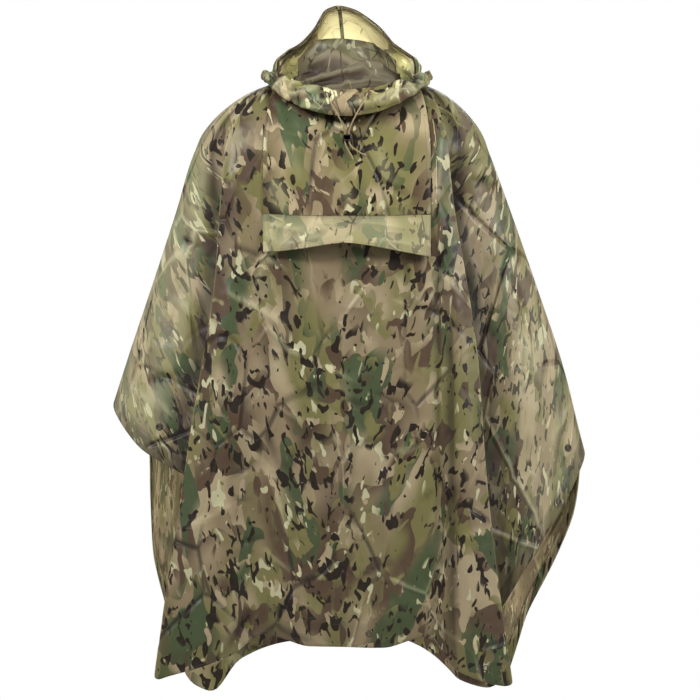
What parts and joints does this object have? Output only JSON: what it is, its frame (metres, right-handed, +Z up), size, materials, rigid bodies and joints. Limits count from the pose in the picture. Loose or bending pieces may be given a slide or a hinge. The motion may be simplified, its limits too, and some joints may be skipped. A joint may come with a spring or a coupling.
{
  "type": "rain poncho",
  "caption": "Hooded rain poncho of thin coated camouflage cloth with a chest pocket flap, a cowl with a drawcord, long front folds and wide open sides, filled out as if worn.",
  "frame": {"origin": "middle of the neck opening at the height of the shoulder tops, where the wearer carries it", "axes": "+Z up, the front faces -Y, +X to the viewer's right as seen from the front"},
  "size_m": [0.9427, 0.4661, 1.38],
  "materials": {
    "camouflage_cloth": "thin coated ripstop nylon, printed, slightly sheeny",
    "plain_inner_cloth": "plain coated reverse of the cloth",
    "dark_binding": "turned and stitched edge",
    "drawcord": "round braided cord",
    "snap": "dark painted, dull",
    "cord_lock": "moulded, dull"
  },
  "bodies": {
    "root": {"front_panel": "camouflage_cloth", "back_panel": "camouflage_cloth", "front_hem": "camouflage_cloth", "back_hem": "camouflage_cloth", "chest_panel": "camouflage_cloth", "pocket_flap": "camouflage_cloth", "hood_left": "camouflage_cloth", "hood_right": "camouflage_cloth", "cowl": "camouflage_cloth", "turned_band": "camouflage_cloth", "throat_folds": "plain_inner_cloth", "hood_rim_left": "dark_binding", "hood_rim_right": "dark_binding", "hood_seam_strip": "dark_binding", "snap_left_wing": "snap", "snap_right_wing_upper": "snap", "snap_right_wing_lower": "snap", "snap_front_foot_right": "snap", "snap_front_foot_middle": "snap", "snap_back_left_wing": "snap", "snap_back_right_wing": "snap", "snap_back_foot_left": "snap", "snap_back_foot_right": "snap", "eyelet_left": "snap", "eyelet_right": "snap", "cord_lock": "cord_lock", "drawcord_left": "drawcord", "drawcord_right": "drawcord", "drawcord_tail_left": "drawcord", "drawcord_tail_right": "drawcord"}
  },
  "joints": []
}
